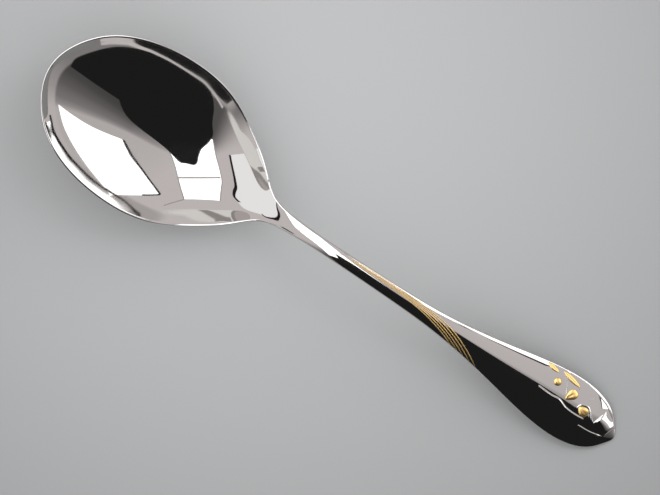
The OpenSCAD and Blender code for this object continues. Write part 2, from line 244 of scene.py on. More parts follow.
class SpoonForm:
    """The forged shape, worked out from the sizes.

    u runs from the tip and y across. t counts stations. A blended row of sizes has the
    place u, the half width, the edge's height, the dish's depth, the thickness in the
    middle and the height of the side.
    """

    def __init__(self, sizes):
        self.sizes = sizes
        self.controls = self.make_controls(sizes)
        self.span = len(self.controls) - 3
        self.t_table = np.linspace(0, self.span, LOOKUP_STEPS + 1)
        self.u_table = blend(self.controls, self.t_table)[:, 0]

    def make_controls(self, size):
        """The stations of bowl, neck and handle, with two more rows at each end.

        Those rows let the blend start at the tip and stop at the end with no width.
        """
        bowl_half, stem_half, handle_half = (
            width / 2 - size.edge_round
            for width in (size.bowl_width, size.stem_width, size.handle_width)
        )
        rim = size.bowl_depth + size.bowl_wall - size.rest_wear
        crest = size.crest_height - size.stem_crown
        end_edge = size.handle_edge - size.rest_wear
        neck_run = size.crest_place - size.bowl_length
        thicken = size.stem_thickness - size.bowl_wall
        deepen = size.stem_side - size.rim_thickness
        zones = (
            (
                BOWL_SHARES,
                (0, 0, rim, 0, size.bowl_wall, size.rim_thickness),
                (size.bowl_length, bowl_half, size.tip_rise, size.bowl_depth, thicken, deepen),
            ),
            (
                NECK_SHARES,
                (size.bowl_length, 0, rim, 0, size.bowl_wall, size.rim_thickness),
                (neck_run, stem_half, crest - rim, -size.stem_crown, thicken, deepen),
            ),
            (
                HANDLE_SHARES,
                (size.spoon_length, 0, crest, 0, size.handle_edge, size.handle_edge),
                (
                    -size.handle_length, handle_half, end_edge - crest, -size.handle_crown,
                    size.handle_thickness - size.handle_edge,
                    size.stem_side - size.handle_edge,
                ),
            ),
        )
        rows = np.concatenate([
            np.array(start) + np.array(reach) * np.array(shares)
            for shares, start, reach in zones
        ])
        lift = rim + size.tip_rise
        tip = np.array((size.edge_round, 0, lift, 0, size.rim_thickness, size.rim_thickness))
        far = size.spoon_length - size.edge_round
        end = np.array((far, 0, end_edge, 0, size.handle_edge, size.handle_edge))
        flip = np.array((1, -1, 1, 1, 1, 1))
        no_width = np.array((1, 0, 1, 1, 1, 1))
        first, last = rows[0], rows[-1]
        return np.vstack([
            first * flip,
            (1.5 * tip - 0.5 * first) * no_width,
            rows,
            (1.5 * end - 0.5 * last) * no_width,
            last * flip,
        ])

    def t_at(self, u):
        """Stations at the places u."""
        return np.interp(u, self.u_table, self.t_table)

    def edge_slope(self, t, face):
        """Slope of the top or under face where it meets the rounded edge."""
        t = np.clip(t, END_MARGIN, self.span - END_MARGIN)
        _, half, _, dish, middle, side = blend(self.controls, t).T
        ahead, widen, climb, *_ = blend_rate(self.controls, t).T
        run = np.hypot(ahead, widen)
        depth = dish if face == "top" else dish + middle - side
        return 2 * depth / half * run / ahead - widen / run * climb / ahead

    def edge_drop(self, t, q):
        """Fall of the rounded edge below the top face, q from 0 to 1 round it."""
        side = blend(self.controls, t)[:, 5]
        reach = self.sizes.edge_round / EDGE_BULGE
        top = np.minimum(0, self.edge_slope(t, "top"))
        under = np.minimum(self.edge_slope(t, "under"), side / reach)
        return (
            3 * (1 - q) ** 2 * q * reach * top
            + 3 * (1 - q) * q**2 * (reach * under - side)
            - q**3 * side
        )

    def half_width(self, u):
        """Half of the spoon's whole width at the places u."""
        return blend(self.controls, self.t_at(u))[:, 1] + self.sizes.edge_round

    def skin(self, u, y):
        """Points on the top face, or on the upper part of its rounded edge."""
        t = self.t_at(u)
        _, half, edge, dish, *_ = blend(self.controls, t).T
        over = np.maximum(0, np.abs(y) - half)
        share = np.maximum(0, 1 - over / self.sizes.edge_round)
        q = (1 - np.sqrt(share)) / 2
        v = np.minimum(1, np.abs(y) / half)
        drop = np.where(over > 0, self.edge_drop(t, q), 0)
        z = edge - dish * (1 - v**2) + drop
        return np.stack([u - self.sizes.spoon_length / 2, y, z], axis=1)

    def skin_normal(self, u, y):
        """Way out of the skin, square to it."""
        probe = self.sizes.edge_round / PROBE_STEPS
        along = self.skin(u + probe, y) - self.skin(u - probe, y)
        across = self.skin(u, y + probe) - self.skin(u, y - probe)
        n = np.cross(along, across)
        return n / np.linalg.norm(n, axis=1, keepdims=True)


# The relief that is raised in the steel: width and height (mm), and places from the
# tip and across
STALKS = {
    "s_stalk": (0.3, 0.05, (
        (207.4, 9.6), (208.9, 8.5), (210.6, 7.0), (211.9, 5.1), (212.9, 3.2),
    )),
    "tendril": (0.3, 0.06, (
        (206.6, 10.3), (208.9, 10.5), (211.4, 9.6), (214.4, 8.0), (216.6, 6.9),
        (219.0, 6.3), (220.9, 6.5), (221.5, 7.6),
    )),
    "wave": (0.7, 0.2, (
        (202.6, 0.6), (208.1, 0.3), (211.6, 0.55), (215.2, -0.6), (219.4, -0.8),
        (222.5, -0.5),
    )),
    "bud_setting": (0.5, 0.16, (
        (218.3, 1.2), (219.2, 3.3), (221.4, 4.0), (223.0, 3.0), (225.0, 1.1),
        (226.3, 0.2),
    )),
    "petal": (5.2, 0.52, ((226.7, 2.7), (229.4, 1.9), (232.4, 0.7))),
    "low_crease": (0.5, 0.2, ((221.6, -3.25), (226.4, -2.99), (231.2, -1.96))),
}

# A relief ridge: its height falls off by a share of its half width and is cut off at
# another. Its ends fade over a share of its length. Last, the points of its path
RIDGE_SPREAD = 0.75
RIDGE_CUT = 1.6
RIDGE_FADE = 0.15
RIDGE_POINTS = 60

# Foot of the raised border along the +Y edge, in two runs (mm from the tip and across)
BORDERS = (
    (
        (126, 1.5), (132, 1.55), (140, 1.8), (150, 2.2), (161.1, 2.88), (170, 3.7),
        (180.2, 4.73), (192, 6.4), (201, 7.85), (204.5, 9.2),
    ),
    (
        (205.5, 10.2), (210, 10.85), (213, 10.95), (217.7, 10.6), (222.5, 9.7),
        (227, 7.9), (231, 5.2), (233, 2.9),
    ),
)
# The border's top falls to the edge at one slope. The flank over its foot takes a share
# of its width, and each run fades in and out over a length (mm). The last two are the
# least widths (mm) that are reckoned with, of the border and of half the spoon
BORDER_SLOPE = 0.75
BORDER_FLANK = 0.36
BORDER_FADE = 3.0
LEAST_BORDER = 0.2
LEAST_HALF = 0.01


def stretch(a, b, c, d, f):
    """Smooth curve from b to c at the shares f, with a before them and d after."""
    curve = a * (-f + 2 * f**2 - f**3) + b * (2 - 5 * f**2 + 3 * f**3)
    curve += c * (f + 4 * f**2 - 3 * f**3) + d * (f**3 - f**2)
    return curve / 2


def smooth_path(points, count):
    """Points along a smooth curve through a few given points."""
    rows = np.array(points, float)
    rows = np.vstack([2 * rows[0] - rows[1], rows, 2 * rows[-1] - rows[-2]])
    t = np.linspace(0, len(rows) - 3 - TINY, count)
    i = np.floor(t).astype(int)
    return stretch(rows[i], rows[i + 1], rows[i + 2], rows[i + 3], (t - i)[:, None])


def ridge_height(places, path, width):
    """Height share from 0 to 1 of a rounded ridge along a path, tapered at its ends."""
    low = path.min(axis=0) - width
    high = path.max(axis=0) + width
    near = np.all((places > low) & (places < high), axis=1)
    height = np.zeros(len(places))
    if not near.any():
        return height
    gaps = places[near][:, None, :] - path[None, :, :]
    distance = np.linalg.norm(gaps, axis=2)
    nearest = distance.argmin(axis=1)
    d = distance.min(axis=1) / (width / 2)
    along = nearest / (len(path) - 1)
    taper = np.clip(np.minimum(along, 1 - along) / RIDGE_FADE, 0, 1) ** 0.5
    height[near] = np.where(d < RIDGE_CUT, np.exp(-((d / RIDGE_SPREAD) ** 2)), 0) * taper
    return height


def border_height(s, y, feet):
    """Height of a border that rises steeply at its foot and slopes to the edge."""
    u, half, _, dish, *_ = s.T
    foot_u, foot_y = (np.array(values) * MM for values in zip(*feet))
    foot = np.interp(u, foot_u, foot_y)
    v = np.clip(y / np.maximum(half, LEAST_HALF * MM), 0, 1)
    top = BORDER_SLOPE * half * (1 - v) + dish * (1 - v**2)
    flank = BORDER_FLANK * np.maximum(half - foot, LEAST_BORDER * MM)
    up = np.clip((y - foot) / flank, 0, 1)
    ends = np.minimum(u - foot_u[0], foot_u[-1] - u) / (BORDER_FADE * MM)
    return np.maximum(top, 0) * up**2 * (3 - 2 * up) * np.clip(ends, 0, 1)


def relief(s, y):
    """Height of the raised steel over the plain handle, for the rows of sizes s."""
    places = np.stack([s[:, 0], y], axis=1)
    height = np.zeros(len(s))
    for width, rise, points in STALKS.values():
        path = smooth_path(points, RIDGE_POINTS) * MM
        height += rise * MM * ridge_height(places, path, width * MM)
    for feet in BORDERS:
        height += border_height(s, y, feet)
    return height


def wall_ease(s, rates, bowl_length):
    """Fall of the bowl's wall below its plain dish, for rows of sizes and their rates.

    The wall's slope grows from the middle to the rim. Along the bowl the rim widens and
    climbs too, so the limit across is worked out from the limit of the whole slope.
    """
    u, half, _, dish, *_ = s.T
    ahead, widening, climbing, *_ = rates.T
    places = np.linspace(0, 1, TOP_STEPS // 2 + 1)
    half = np.maximum(half, TINY)
    plain = (np.maximum(0, 2 * dish / half))[:, None] * places
    widen = np.clip(widening / np.maximum(ahead, TINY), -RIM_TURN, RIM_TURN)
    rise = np.clip(climbing / np.maximum(ahead, TINY), -RIM_CLIMB, RIM_CLIMB)
    most = np.interp(u / bowl_length, WALL_PLACES, WALL_SLOPES)
    whole = 1 + widen**2
    root = (rise * widen) ** 2 - whole * (rise**2 - most**2)
    limit = ((rise * widen + np.sqrt(np.maximum(0, root))) / whole)[:, None]
    eased = plain / (1 + (plain / limit) ** EASE_POWER) ** (1 / EASE_POWER)
    steps = plain - eased
    falls = np.cumsum((steps[:, 1:] + steps[:, :-1]) / TOP_STEPS, axis=1)
    return np.concatenate([0 * half[:, None], falls], axis=1) * half[:, None]


def body_rings(form):
    """Rings of points round the body from the tip to the handle's end."""
    sizes = form.sizes
    plain = np.arange(0, RELIEF_START, 1 / STATION_STEPS)
    fine = np.arange(RELIEF_START, form.span, 1 / RELIEF_STEPS)
    t = np.concatenate([plain, fine, [form.span]])
    s = blend(form.controls, t)
    rates = blend_rate(form.controls, t)
    u, half, edge, dish, middle, side = s.T
    out = np.stack([-rates[:, 1], rates[:, 0]], axis=1)
    out /= np.hypot(rates[:, 0], rates[:, 1])[:, None]
    place = u - sizes.spoon_length / 2
    reach = sizes.edge_round / EDGE_BULGE
    ease = wall_ease(s, rates, sizes.bowl_length)

    def across(v, under):
        """Points of one face, v from -1 to 1 across it."""
        if under:
            height = edge - side - (dish + middle - side) * (1 - v**2)
            height = np.maximum(0, height)
        else:
            height = edge - dish * (1 - v**2) - ease[:, round(abs(v) * TOP_STEPS / 2)]
            height = height + relief(s, half * v)
        return np.stack([place, half * v, height], axis=1)

    def round_edge(q, sign):
        """Points of one rounded edge, q from 0 at the top face to 1 at the under face."""
        step = 3 * reach * q * (1 - q)
        start = relief(s, sign * half) - ease[:, -1]
        height = np.maximum(0, edge + form.edge_drop(t, q) + start * (1 - q) ** 2)
        x, y = place + out[:, 0] * step, sign * (half + out[:, 1] * step)
        return np.stack([x, y, height], axis=1)

    turns = np.arange(1, EDGE_STEPS) / EDGE_STEPS
    columns = [across(v, False) for v in np.linspace(-1, 1, TOP_STEPS + 1)]
    columns += [round_edge(q, 1) for q in turns]
    columns += [across(v, True) for v in np.linspace(1, -1, UNDER_STEPS + 1)]
    columns += [round_edge(1 - q, -1) for q in turns]
    return np.stack(columns, axis=1)


def ring_faces(ring_count, ring_size):
    """Four-sided faces between neighbouring rings."""
    i = np.arange(ring_count - 1)[:, None]
    j = np.arange(ring_size)[None, :]
    k = (j + 1) % ring_size
    corners = (i * ring_size + j, i * ring_size + k)
    far = ((i + 1) * ring_size + k, (i + 1) * ring_size + j)
    return np.stack(corners + far, axis=-1).reshape(-1, 4)


def capped(rings):
    """Points and faces of a solid from its rings, closed at both ends."""
    count, size = rings.shape[:2]
    faces = [tuple(f) for f in ring_faces(count, size)]
    faces.append(tuple(range(size)))
    faces.append(tuple(range((count - 1) * size, count * size)))
    return rings.reshape(-1, 3), faces


def add_node(nodes, links, kind, settings=None, **inputs):
    """Adds a node, sets what is given and links the inputs that are sockets.

    An input is given by its name, with underscores for spaces, or by its number, as i6.
    """
    node = nodes.new(kind)
    for name, value in (settings or {}).items():
        setattr(node, name, value)
    for name, value in inputs.items():
        numbered = name[0] == "i" and name[1:].isdigit()
        socket = node.inputs[int(name[1:]) if numbered else name.replace("_", " ")]
        if isinstance(value, bpy.types.NodeSocket):
            links.new(value, socket)
        else:
            socket.default_value = value
    return node


def new_material(name):
    """An empty material, its nodes and its links."""
    material = bpy.data.materials.new(name)
    material.use_nodes = True
    nodes = material.node_tree.nodes
    nodes.clear()
    return material, nodes, material.node_tree.links


def laid_over(nodes, links, tone, layers):
    """The tone with each layer's tone laid over it, as far as the layer's share says."""
    for share, over in layers:
        tone = add_node(
            nodes, links, "ShaderNodeMix", {"data_type": "RGBA"}, i0=share, i6=tone, i7=over
        ).outputs[2]
    return tone


# Marks that polishing leaves in the metal, their size and depth, and the roughness that
# they give. Nearly all of a noise texture's values lie in its range
NOISE_RANGE = (0.3, 0.7)
HAZE_PATCH = 9 * MM
BUFF_WAVE = 7 * MM
BURNISH_MARK = 0.6 * MM
MARK_DEPTH = 0.02 * MM
STEEL_ROUGHNESS = (0.025, 0.055)
GOLD_ROUGHNESS = (0.26, 0.36)
# Colour of the gold in its hollows, as shares of its red, green and blue
GOLD_DEEP_SHARES = (0.98, 0.88, 0.75)


def polished_steel(trim):
    """18/10 stainless steel, forged and buffed to a mirror.

    Buffing leaves a very faint waviness and a haze that changes from place to place,
    so reflected edges stay sharp but are never ruler-straight.
    """
    material, nodes, links = new_material("Mirror-buffed 18-10 stainless steel")
    place = add_node(nodes, links, "ShaderNodeTexCoord").outputs["Object"]
    haze = add_node(
        nodes, links, "ShaderNodeTexNoise", Vector=place, Scale=1 / HAZE_PATCH, Detail=4.0
    )
    rough = add_node(
        nodes, links, "ShaderNodeMapRange", Value=haze.outputs["Fac"],
        From_Min=NOISE_RANGE[0], From_Max=NOISE_RANGE[1],
        To_Min=STEEL_ROUGHNESS[0], To_Max=STEEL_ROUGHNESS[1],
    )
    waves = add_node(
        nodes, links, "ShaderNodeTexNoise", Vector=place, Scale=1 / BUFF_WAVE, Detail=1.0
    )
    bump = add_node(
        nodes, links, "ShaderNodeBump",
        Strength=0.25, Distance=MARK_DEPTH, Height=waves.outputs["Fac"],
    )
    shader = add_node(
        nodes, links, "ShaderNodeBsdfPrincipled",
        Base_Color=(*trim.steel_colour, 1), Metallic=1.0,
        Roughness=rough.outputs["Result"], Normal=bump.outputs["Normal"],
    )
    add_node(nodes, links, "ShaderNodeOutputMaterial", Surface=shader.outputs["BSDF"])
    return material


def gold_plate(trim):
    """Hard gold plate over raised steel, burnished by hand.

    The plate is a little softer than the steel, so its shine is broader, and its
    colour is deeper in the hollows where the burnisher doesn't reach. The burnisher's
    marks are drawn several times coarser than real ones, so that they show.
    """
    material, nodes, links = new_material("Burnished gold plate")
    place = add_node(nodes, links, "ShaderNodeTexCoord").outputs["Object"]
    marks = add_node(
        nodes, links, "ShaderNodeTexNoise", Vector=place, Scale=1 / BURNISH_MARK, Detail=3.0
    ).outputs["Fac"]
    rough = add_node(
        nodes, links, "ShaderNodeMapRange", Value=marks,
        From_Min=NOISE_RANGE[0], From_Max=NOISE_RANGE[1],
        To_Min=GOLD_ROUGHNESS[0], To_Max=GOLD_ROUGHNESS[1],
    )
    deep = [c * share for c, share in zip(trim.gold_colour, GOLD_DEEP_SHARES)]
    tone = laid_over(nodes, links, (*deep, 1), [(marks, (*trim.gold_colour, 1))])
    bump = add_node(
        nodes, links, "ShaderNodeBump", Strength=0.12, Distance=MARK_DEPTH, Height=marks
    )
    shader = add_node(
        nodes, links, "ShaderNodeBsdfPrincipled",
        Base_Color=tone, Metallic=1.0,
        Roughness=rough.outputs["Result"], Normal=bump.outputs["Normal"],
    )
    add_node(nodes, links, "ShaderNodeOutputMaterial", Surface=shader.outputs["BSDF"])
    return material


MATERIALS = {}
# Points of a mesh that lie closer than this are one point
WELD_GAP = 0.001 * MM


def material_of(name, maker, trim):
    """The one material of that name, made when it is first asked for."""
    if name not in MATERIALS:
        MATERIALS[name] = maker(trim)
    return MATERIALS[name]


def new_piece(name, points, faces, material, replaced):
    """A smooth mesh that rides on the spoon and stands for a CAD node."""
    mesh = bpy.data.meshes.new(name)
    mesh.from_pydata(points.tolist(), [], [list(f) for f in faces])
    made = bmesh.new()
    made.from_mesh(mesh)
    bmesh.ops.remove_doubles(made, verts=made.verts, dist=WELD_GAP)
    bmesh.ops.recalc_face_normals(made, faces=made.faces)
    made.to_mesh(mesh)
    made.free()
    mesh.shade_smooth()
    mesh.materials.append(material)
    piece = bpy.data.objects.new(name, mesh)
    bpy.context.scene.collection.objects.link(piece)
    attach(piece, ROOT)
    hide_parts(replaced)


class SPOON_OT_body(bpy.types.Operator):
    """Forge the steel body: bowl, neck, stem and handle end in one piece"""

    bl_idname = "spoon.body"
    bl_label = "Steel body"

    def execute(self, context):
        trim = context.scene.spoon_trim
        form = SpoonForm(context.scene.spoon_sizes)
        rings = body_rings(form)
        points, faces = rings.reshape(-1, 3), ring_faces(*rings.shape[:2])
        steel = material_of("steel", polished_steel, trim)
        new_piece("steel_body", points, faces, steel, "spoon_body")
        return {"FINISHED"}


# Steps along a gold line and round its back, and the rings over which each end narrows
LINE_STEPS = 160
LINE_SIDES = 10
LINE_TAPER = 12


def guide_rows(k):
    """Guide curve of one gold line, k from 1 at the inner edge of the bundle."""
    f = (k - 1) / (LINE_COUNT - 1)
    p = np.array(INNER_GUIDE) * (1 - f) + np.array(OUTER_GUIDE) * f
    return np.vstack([2 * p[0] - p[1], p, 2 * p[-1] - p[-2]])


def line_places(form, k):
    """Places u and y along one gold line."""
    rows = guide_rows(k)
    t = np.linspace(0, len(rows) - 3, LINE_STEPS + 1)
    g = blend(rows, t)
    u = form.sizes.spoon_length - form.sizes.handle_length * g[:, 0]
    return u, g[:, 1] * form.half_width(u)


def unit(v):
    """Rows at length one."""
    return v / np.linalg.norm(v, axis=1, keepdims=True)


def gold_line(form, trim, k):
    """Points and faces of one raised line with a rounded back."""
    u, y = line_places(form, k)
    centre = form.skin(u, y)
    normal = form.skin_normal(u, y)
    along = unit(np.gradient(centre, axis=0))
    across = unit(np.cross(along, normal))
    first = form.skin(*line_places(form, 1))
    last = form.skin(*line_places(form, LINE_COUNT))
    gap = np.linalg.norm(np.cross(last - first, along), axis=1) / (LINE_COUNT - 1)
    width = np.minimum(trim.line_width, LINE_GAP_SHARE * gap)[:, None]
    ends = np.minimum(np.arange(LINE_STEPS + 1), np.arange(LINE_STEPS + 1)[::-1])
    taper = np.minimum(1, (ends + 1) / LINE_TAPER)[:, None] ** 0.5
    rise = trim.line_height * width / trim.line_width * taper
    columns = [centre - across * width / 2 * taper - normal * trim.gold_key]
    for angle in np.linspace(np.pi, 0, LINE_SIDES):
        side = across * np.cos(angle) * width / 2 * taper
        columns.append(centre + side + normal * rise * np.sin(angle))
    columns.append(centre + across * width / 2 * taper - normal * trim.gold_key)
    return capped(np.stack(columns, axis=1))


class SPOON_OT_gold_lines(bpy.types.Operator):
    """Lay the five gold lines along the stem and over the handle's edge"""

    bl_idname = "spoon.gold_lines"
    bl_label = "Gold lines"

    def execute(self, context):
        trim = context.scene.spoon_trim
        form = SpoonForm(context.scene.spoon_sizes)
        gold = material_of("gold", gold_plate, trim)
        for k in range(1, LINE_COUNT + 1):
            points, faces = gold_line(form, trim, k)
            new_piece(f"line_{k}", points, faces, gold, f"gold_line_{k}")
        return {"FINISHED"}


# Points round a leaf or bud, loops from its foot to its top, size of the top loop as a
# share of the foot, and spread of the fold as a share of the width
BUD_SIDES = 48
BUD_LOOPS = 10
BUD_TOP = 0.02
FOLD_SPREAD = 0.12

# Each leaf and bud: centre from the tip and across, length, width (mm), turn in
# degrees, pinch of the ends, taper to the far end, fold depth along its middle
SPRIG = {
    "upper_leaf": (203.8, 9.0, 5.4, 1.7, -10, 1.7, 0.0, 0.35),
    "long_leaf": (211.6, 9.0, 8.2, 1.8, -12, 1.7, 0.0, 0.35),
    "round_bud": (207.8, 5.6, 2.9, 2.9, 0, 1.0, 0.0, 0.0),
    "heart_bud": (214.4, 4.2, 4.9, 3.4, 242, 1.0, 0.45, 0.25),
    "end_bud": (220.8, 1.8, 4.1, 3.4, 168, 1.0, 0.35, 0.1),
}


def gold_dome(form, trim, row, height):
    """Points and faces of a domed leaf or bud with a soft fold along its middle."""
    u0, y0, long, wide, turn, pinch, taper, fold = row
    angle = np.radians(turn)
    around = np.linspace(0, 2 * np.pi, BUD_SIDES, endpoint=False)
    sine = np.sin(around)
    out_x = np.cos(around) * long / 2
    out_y = np.sign(sine) * np.abs(sine) ** pinch * wide / 2 * (1 - taper * np.cos(around))
    loops = []
    for k in range(BUD_LOOPS + 1):
        climb = k / BUD_LOOPS * np.pi / 2
        share = max(np.cos(climb), BUD_TOP)
        x, y = out_x * share, out_y * share
        u = (u0 + x * np.cos(angle) - y * np.sin(angle)) * MM
        v = (y0 + x * np.sin(angle) + y * np.cos(angle)) * MM
        rise = np.sin(climb)
        groove = fold * np.exp(-((y / (FOLD_SPREAD * wide)) ** 2)) * rise
        level = form.skin(u, v)
        level[:, 2] += height * rise * (1 - groove)
        if k == 0:
            sunk = level.copy()
            sunk[:, 2] -= trim.gold_key
            loops.append(sunk)
        loops.append(level)
    return capped(np.stack(loops))


def add_sprig_pieces(context, names, height):
    """Raises leaves or buds of the sprig, all to one height."""
    trim = context.scene.spoon_trim
    form = SpoonForm(context.scene.spoon_sizes)
    gold = material_of("gold", gold_plate, trim)
    for name in names:
        points, faces = gold_dome(form, trim, SPRIG[name], height)
        new_piece(name, points, faces, gold, f"gold_{name}")


class SPOON_OT_leaves(bpy.types.Operator):
    """Raise the two gold leaves of the sprig"""

    bl_idname = "spoon.leaves"
    bl_label = "Gold leaves"

    def execute(self, context):
        height = context.scene.spoon_trim.leaf_height
        add_sprig_pieces(context, ("upper_leaf", "long_leaf"), height)
        return {"FINISHED"}


class SPOON_OT_buds(bpy.types.Operator):
    """Raise the three gold buds of the sprig"""

    bl_idname = "spoon.buds"
    bl_label = "Gold buds"

    def execute(self, context):
        height = context.scene.spoon_trim.bud_height
        add_sprig_pieces(context, ("round_bud", "heart_bud", "end_bud"), height)
        return {"FINISHED"}


# The studio that the steel reflects. Cards lie on a wide dome round the spoon. Their
# outlines are degrees from straight overhead, towards +X and towards +Y. The outline
# runs smoothly through its points, and a point that is given twice is a corner.
DOME_RADIUS = 5.0
SOFTBOX = (
    (18.8, 84.8), (18.8, 84.8), (31.4, 76.4), (44, 67), (56.5, 55.5), (64.9, 46),
    (71.6, 37), (71.6, 37), (60.7, 38.1), (50.2, 38.3), (41.9, 36.6), (36, 33.5),
    (32.2, 30.3), (32.2, 30.3), (29.7, 37.3), (26.6, 44.6), (23.4, 49.8), (17.8, 56.1),
    (10.5, 61.7), (2.5, 67.6), (2.5, 67.6), (10.5, 75.8),
)
PANEL = (
    (-50.2, 38.7), (-50.2, 38.7), (-34.5, 51.3), (-18.8, 62.4), (-18.8, 62.4),
    (-8.4, 51.3), (1.7, 38.9), (10.5, 26.2), (20.3, 10), (20.3, 10), (14.7, -6.3),
    (2.1, -31.4), (-5.2, -46), (-8, -44.4), (-8, -44.4), (-16.7, -29.7), (-29.3, -13),
    (-39.3, 2.7), (-44, 16.7), (-47.3, 28.3),
)
WALL = (
    (-80, 31.4), (-70.7, 33.5), (-62.8, 23), (-58.2, 15.7), (-56.1, 0), (-51.7, -12.6),
    (-45, -26.2), (-32.4, -46.5), (-32.4, -46.5), (-37.3, -52.3), (-41.9, -57.6),
    (-49.2, -67), (-49.2, -67), (-72, -46), (-80, -30), (-84, 0),
)
FLAG = (
    (-1, 6.3), (5.9, 10.9), (11.5, 14.6), (23, 8), (35.6, 0.6), (42.9, -13.6),
    (42.9, -13.6), (60.7, -13.6), (80.4, -15.1), (80.4, -15.1), (80.4, -27.7),
    (74, -41.9), (64.2, -55.8), (52.6, -67.2), (38.8, -76.2), (26.6, -81.8),
    (14.9, -84.7), (7.5, -84), (2, -77), (-1, -62.8), (-5.2, -52.3), (-3.8, -39.8),
    (0.4, -24.1), (-0.4, -10.5), (-2.5, -1),
)
LOW_FELT = (
    (53.7, -68.7), (53.7, -68.7), (43.3, -75), (32.3, -79.9), (16.5, -84.7),
    (9, -85.5), (-3, -84.7), (-8.8, -84), (-8.8, -84), (-9.4, -89), (-9.4, -89),
    (17.1, -87.9), (33.4, -82.6), (44.6, -77.1), (54.9, -70.2), (54.9, -70.2),
)
# Bands follow a line on the dome: a row gives a place in degrees and the band's width
SOFTBOX_RIM = (
    (10.9, 75.8, 1.4), (1.7, 67.8, 1.8), (1.7, 67.8, 1.8), (10.5, 62, 1.6),
    (17.8, 55.9, 1.4), (23.2, 49.4, 1.3), (26.3, 44.3, 1.2), (29.3, 37, 1.1),
    (32, 29.9, 1),
)
PANEL_SEAM = ((2.9, 37.5, 2.6), (-9.7, 25.1, 2.6), (-22.4, 12.5, 2.6), (-36, -1, 2.6))
PANEL_EDGE = (
    (-10.5, 77.4, 0.9), (-19.5, 62.4, 0.9), (-19.5, 62.4, 0.9), (-8.8, 51.4, 0.9),
    (1.7, 38.9, 0.9), (10.5, 26, 0.8), (20.3, 9.8, 0.7),
)
PANEL_SIDE = (
    (-50.8, 38.4, 1.5), (-47.5, 28, 1.5), (-44.2, 16.5, 1.5), (-39.7, 2.5, 1.5),
    (-29.6, -13.2, 1.5), (-17, -30, 1.5), (-8.2, -44.7, 1.5),
)
WALL_FRAME = (
    (-63.7, 22, 2.4), (-58.6, 16.5, 2.4), (-56.5, 7, 3), (-55.5, -2.6, 3),
    (-51.6, -13, 3), (-45.2, -25.5, 3), (-32, -46.2, 3),
)
SKIRTING = (
    (71.4, 51.9, 1.2), (60, 63.3, 1), (43.7, 74.2, 1), (31.5, 79.9, 0.9),
    (23.7, 82.7, 0.8), (16.4, 84.3, 0.7), (6.1, 86.7, 0.5), (-3.1, 87.3, 0.4),
)
STREAK = (
    (67.6, -56.7, 0.8), (59.7, -64, 1.4), (49.8, -71.2, 1.4), (43.1, -74.6, 1.3),
    (32.1, -79.5, 0.9), (16.4, -84.2, 0.8), (8.9, -84.7, 0.8), (2.9, -84.1, 1.1),
    (-7.1, -81.7, 1.6),
)
LOW_LIGHT = (
    (67.9, 56.9, 1.2), (60.9, 64.1, 1.4), (44.5, 75.5, 1.5), (32.1, 81.4, 1.4),
    (24.1, 84.2, 1.3), (15.2, 86.4, 1.2), (7.7, 87.7, 0.8),
)
# Points for each stretch of an outline, cuts in each edge of a card so that it bends
# with the dome, points along each run of a band, and the lowest place of any of them in
# degrees from overhead
CURVE_STEPS = 6
CARD_CUTS = 4
BAND_STEPS = 40
LOWEST_PLACE = 89.5
# Layers of the dome as shares of its radius: what is nearer hides what is farther out
CARD_LAYER = 1.0
BAND_LAYER = 0.97
FLAG_LAYER = 0.94
FELT_LAYER = 0.93
STREAK_LAYER = 0.92
# Strengths of the lit cloth, of its image in the image of another part of the steel,
# and of the cloth that is turned down
LIT_CLOTH = 2.1
LIT_AGAIN = 1.15
DIM_CLOTH = 1.06
# Ray depths of the two images
FIRST_IMAGE = 1.0
SECOND_IMAGE = 2.0


def smooth_outline(points):
    """Closed curve through the points, in degrees from overhead."""
    rows = np.array(points, float)
    f = (np.arange(CURVE_STEPS) / CURVE_STEPS)[:, None]
    curve = []
    for i in range(len(rows)):
        a, b, c, d = (rows[(i + k) % len(rows)] for k in (-1, 0, 1, 2))
        if not np.allclose(b, c):
            curve.append(stretch(a, b, c, d, f))
    return np.concatenate(curve)


def band_parts(rows):
    """Smooth runs of a band, cut where a row is given twice."""
    parts = [[rows[0]]]
    for before, row in zip(rows, rows[1:]):
        if before == row:
            parts.append([])
        parts[-1].append(row)
    return parts


def on_dome(place, radius):
    """Point of the dome at so many degrees from overhead."""
    out = np.hypot(place.x, place.y) or TINY
    fall = np.radians(min(out, LOWEST_PLACE))
    flat = np.sin(fall) / out
    return Vector((place.x * flat, place.y * flat, np.cos(fall))) * radius


def glow(name, code, strength=1.0, again=None):
    """Cloth, felt or board of one colour, as bright as its strength.

    Lit cloth is brightest in its first image in the steel. The image of an image has
    the strength "again", because real cloth isn't lit evenly to its edges.
    """
    material, nodes, links = new_material(name)
    if again is not None:
        path = add_node(nodes, links, "ShaderNodeLightPath")
        strength = add_node(
            nodes, links, "ShaderNodeMapRange", Value=path.outputs["Ray Depth"],
            From_Min=FIRST_IMAGE, From_Max=SECOND_IMAGE, To_Min=strength, To_Max=again,
        ).outputs["Result"]
    light = add_node(
        nodes, links, "ShaderNodeEmission", Color=(*srgb(code), 1), Strength=strength
    )
    add_node(nodes, links, "ShaderNodeOutputMaterial", Surface=light.outputs["Emission"])
    return material


def stage_card(name, made, material, glossy_only):
    """A card that the spoon reflects but the camera doesn't see."""
    mesh = bpy.data.meshes.new(name)
    made.to_mesh(mesh)
    made.free()
    mesh.materials.append(material)
    card = bpy.data.objects.new(name, mesh)
    bpy.context.scene.collection.objects.link(card)
    card.visible_camera = False
    card.visible_shadow = False
    card.visible_diffuse = not glossy_only


